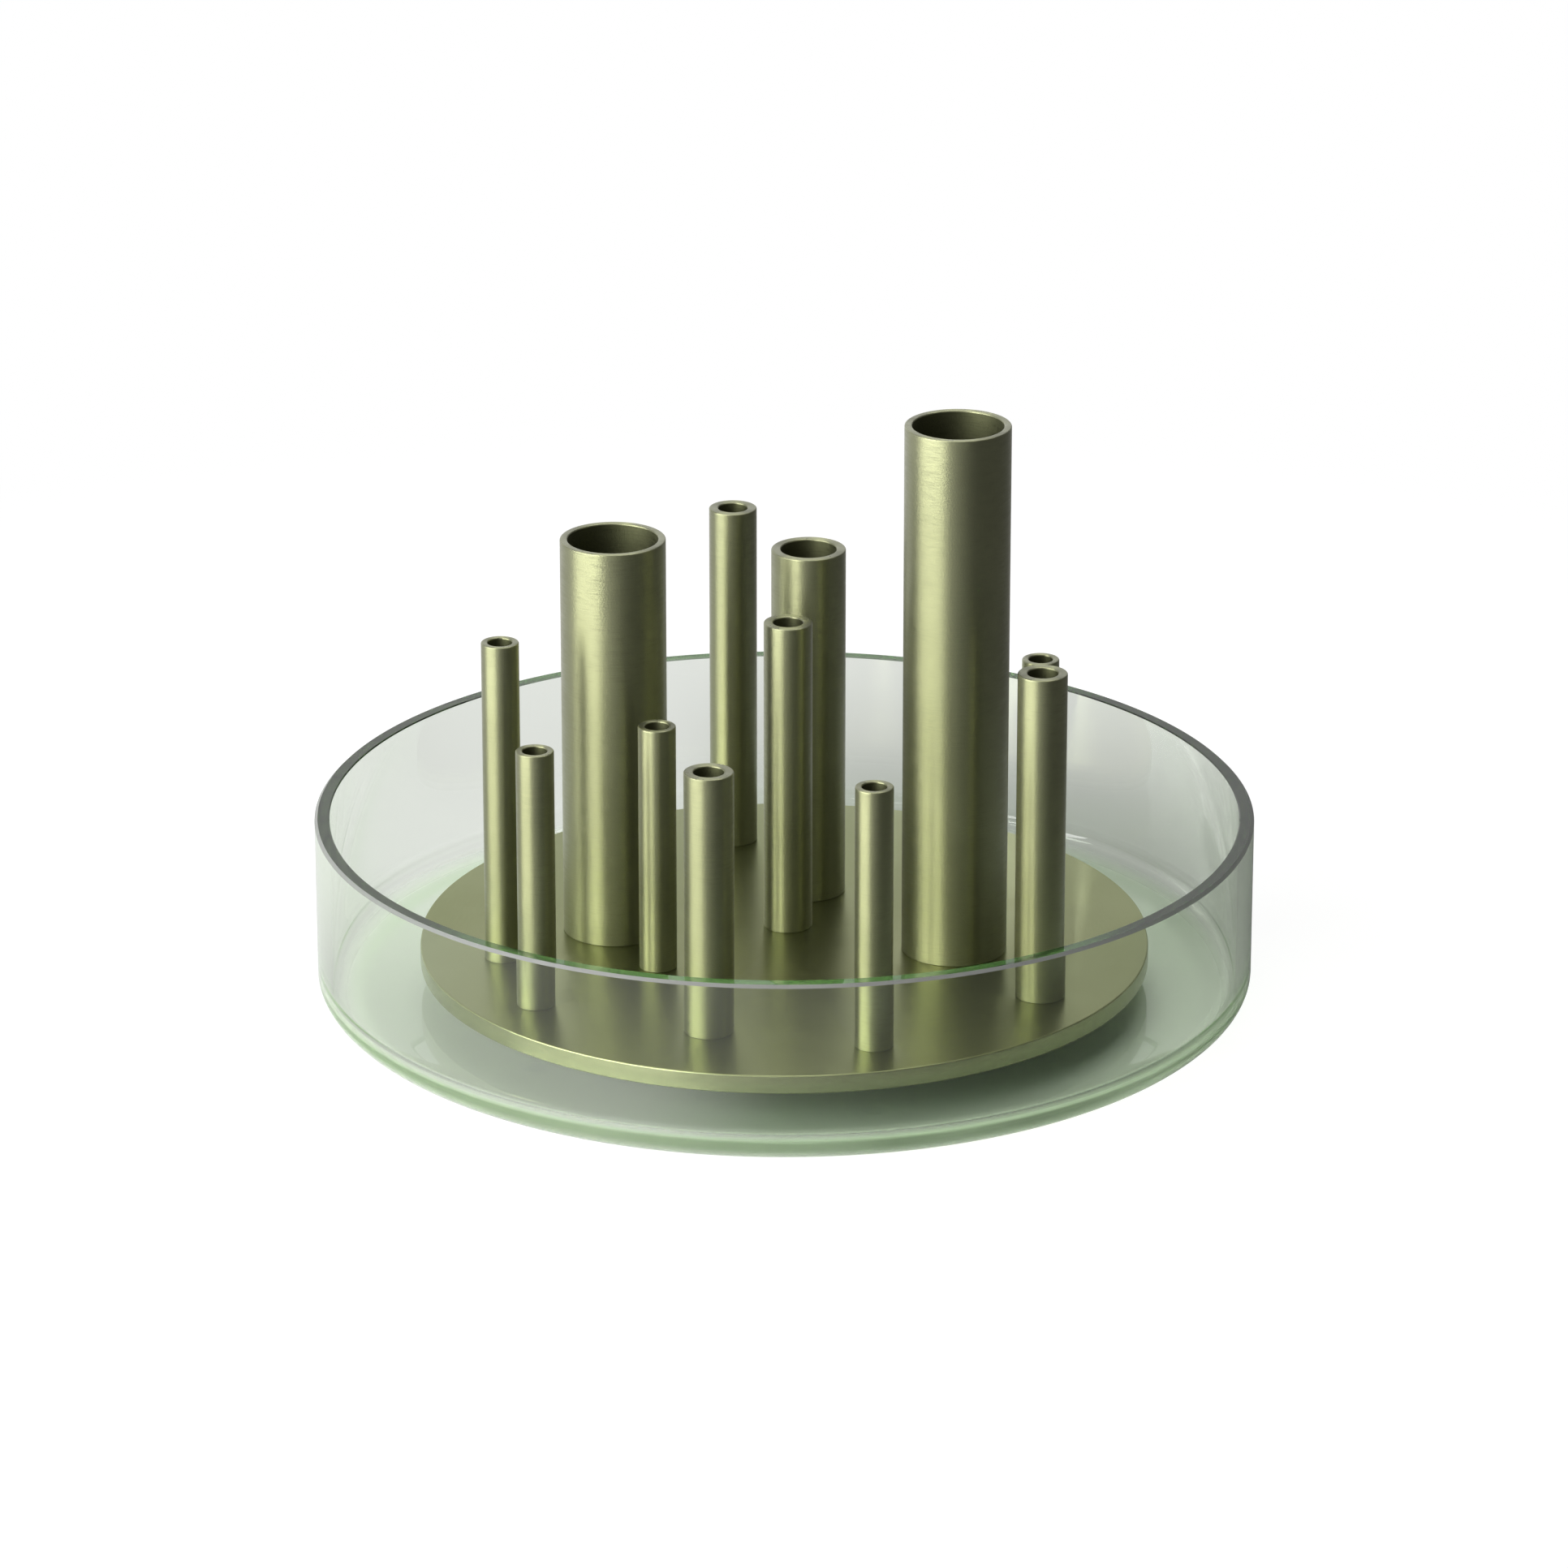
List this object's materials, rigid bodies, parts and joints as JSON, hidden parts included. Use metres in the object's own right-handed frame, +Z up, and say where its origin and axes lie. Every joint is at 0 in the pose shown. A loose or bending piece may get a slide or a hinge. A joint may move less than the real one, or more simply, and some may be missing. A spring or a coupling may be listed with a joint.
{
  "type": "low vase",
  "caption": "Low round glass bowl with a lift-out metal insert: a disc on rubber feet that carries open upright tubes of several widths and heights, each for a flower stem.",
  "frame": {"origin": "centre of the bowl's underside, on the table", "axes": "+Z up along the bowl's axis; -Y is the front that the picture shows, +X its right-hand side"},
  "size_m": [0.25, 0.25, 0.1617],
  "materials": {
    "glass": "clear, with a pale green tint, and a cut rim that is ground and polished",
    "anodised_aluminium": "olive-green anodised, satin, with fine turned lines round each tube and on the plate",
    "rubber": "matt grey silicone rubber",
    "screw_steel": "plain stainless steel"
  },
  "bodies": {
    "bowl": {"glass_bowl": "glass"},
    "insert": {"base_plate": "anodised_aluminium", "slim_tube_left": "anodised_aluminium", "slim_tube_front_left": "anodised_aluminium", "slim_tube_inner_left": "anodised_aluminium", "slim_tube_front_right": "anodised_aluminium", "slim_tube_right": "anodised_aluminium", "narrow_tube_back": "anodised_aluminium", "narrow_tube_middle": "anodised_aluminium", "narrow_tube_front": "anodised_aluminium", "narrow_tube_right": "anodised_aluminium", "medium_tube_back": "anodised_aluminium", "wide_tube_left": "anodised_aluminium", "wide_tube_right": "anodised_aluminium", "foot_back_right": "rubber", "foot_back_left": "rubber", "foot_front_left": "rubber", "foot_front_right": "rubber", "screw_back_right": "screw_steel", "screw_back_left": "screw_steel", "screw_front_left": "screw_steel", "screw_front_right": "screw_steel"}
  },
  "joints": [
    {"name": "insert_lift", "type": "slide", "parent": "bowl", "child": "insert", "axis": [0, 0, 1], "range_m": [0, 0.1]}
  ]
}
